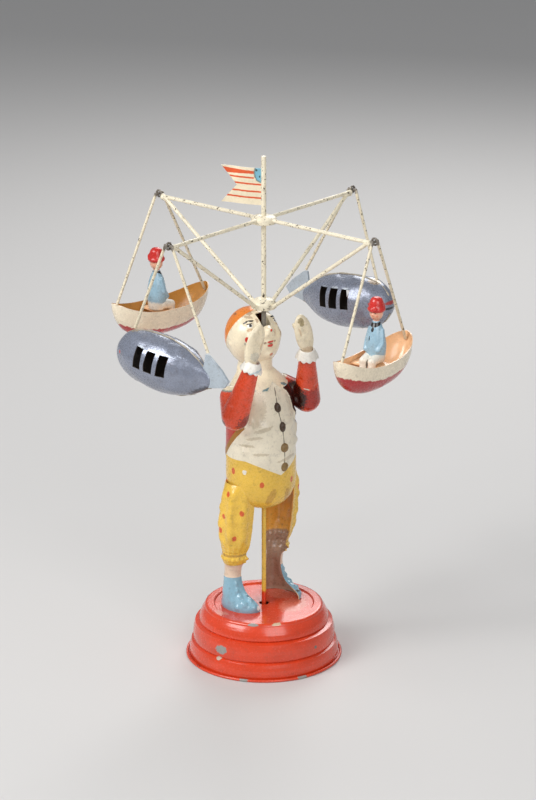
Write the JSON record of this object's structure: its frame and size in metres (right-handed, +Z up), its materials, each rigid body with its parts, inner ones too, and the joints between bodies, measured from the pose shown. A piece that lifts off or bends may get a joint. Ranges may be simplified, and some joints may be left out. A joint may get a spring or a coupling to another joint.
{
  "type": "wind-up carousel toy",
  "caption": "Wind-up tin toy: a clown figure on a round clockwork base carries a wire carousel that turns above its head, with boats and airships on swinging wire hangers.",
  "frame": {"origin": "centre of the base's flat underside, on the drive shaft's axis", "axes": "+Z up along the drive shaft, -Y the way the figure faces, +X to the figure's left"},
  "size_m": [0.2141, 0.2102, 0.3402],
  "materials": {
    "red_paint": "glossy enamel, chipped",
    "brass": "tarnished",
    "steel": "dull",
    "trouser_yellow": "glossy enamel with dots",
    "coat_red": "glossy enamel",
    "waistcoat_cream": "glossy enamel, worn",
    "face_cream": "glossy enamel, worn",
    "hair_orange": "glossy enamel",
    "cream": "enamel, chipped",
    "flag_paint": "enamel with stripes",
    "boat_cream": "enamel, red below the waterline",
    "boat_tan": "enamel",
    "sailor_blue": "enamel",
    "silver_lacquer": "glossy lacquer",
    "passenger_skin": "enamel"
  },
  "bodies": {
    "base": {"base_bell": "red_paint", "floor_plate": "red_paint", "front_plate": "brass", "rear_plate": "brass", "pillars": "steel", "plate_rivets": "steel", "mainspring": "steel", "footstep_bearing": "brass", "neck_bearing": "steel", "torso_front": "waistcoat_cream", "torso_back": "coat_red", "face": "face_cream", "head_back": "hair_orange", "right_arm": "coat_red", "left_arm": "coat_red", "right_leg": "trouser_yellow", "left_leg": "trouser_yellow"},
    "carousel": {"drive_shaft": "trouser_yellow", "shaft_pinion": "brass", "mast": "cream", "upper_hub": "cream", "lower_hub": "cream", "flag": "flag_paint", "upper_arm_1": "cream", "upper_arm_2": "cream", "upper_arm_3": "cream", "upper_arm_4": "cream", "lower_strut_1": "cream", "lower_strut_2": "cream", "lower_strut_3": "cream", "lower_strut_4": "cream"},
    "crown_wheel": {"pinion_arbor": "steel", "crown_wheel": "brass"},
    "great_wheel": {"great_wheel": "brass", "click": "steel", "click_rivet": "brass"},
    "winding": {"winding_arbor": "steel", "winding_key": "steel", "ratchet_wheel": "steel"},
    "boat_1": {"boat_1_hull": "boat_cream", "boat_1_thwart": "boat_tan", "boat_1_sailor": "sailor_blue", "boat_1_hanger": "cream"},
    "airship_1": {"airship_1_left": "silver_lacquer", "airship_1_right": "silver_lacquer", "airship_1_passenger": "passenger_skin", "airship_1_hanger": "cream"},
    "boat_2": {"boat_2_hull": "boat_cream", "boat_2_thwart": "boat_tan", "boat_2_sailor": "sailor_blue", "boat_2_hanger": "cream"},
    "airship_2": {"airship_2_left": "silver_lacquer", "airship_2_right": "silver_lacquer", "airship_2_passenger": "passenger_skin", "airship_2_hanger": "cream"}
  },
  "joints": [
    {"name": "carousel_spin", "type": "hinge", "parent": "base", "child": "carousel", "pos_m": [0, 0, 0], "axis": [0, 0, 1], "continuous": true},
    {"name": "crown_wheel_spin", "type": "hinge", "parent": "base", "child": "crown_wheel", "pos_m": [0, 0, 0.014], "axis": [0, 1, 0], "continuous": true},
    {"name": "great_wheel_spin", "type": "hinge", "parent": "base", "child": "great_wheel", "pos_m": [0.01335, 0, 0.016], "axis": [0, 1, 0], "continuous": true},
    {"name": "key_wind", "type": "hinge", "parent": "great_wheel", "child": "winding", "pos_m": [0.01335, 0, 0.016], "axis": [0, -1, 0], "continuous": true},
    {"name": "airship_1_swing", "type": "hinge", "parent": "carousel", "child": "airship_1", "pos_m": [0.08815, 0.01817, 0.3006], "axis": [0.2019, -0.9794, 0], "range_deg": [-20, 45]},
    {"name": "boat_1_swing", "type": "hinge", "parent": "carousel", "child": "boat_1", "pos_m": [-0.01817, 0.08815, 0.3006], "axis": [0.9989, 0.0462, 0], "range_deg": [-20, 45]},
    {"name": "airship_2_swing", "type": "hinge", "parent": "carousel", "child": "airship_2", "pos_m": [-0.08815, -0.01817, 0.3006], "axis": [-0.2019, 0.9794, 0], "range_deg": [-20, 45]},
    {"name": "boat_2_swing", "type": "hinge", "parent": "carousel", "child": "boat_2", "pos_m": [0.01817, -0.08815, 0.3006], "axis": [-0.9529, -0.3032, 0], "range_deg": [-20, 45]}
  ],
  "couplings": [
    {"joint": "crown_wheel_spin", "follows": "carousel_spin", "ratio": 0.33333},
    {"joint": "great_wheel_spin", "follows": "carousel_spin", "ratio": -0.083333}
  ]
}
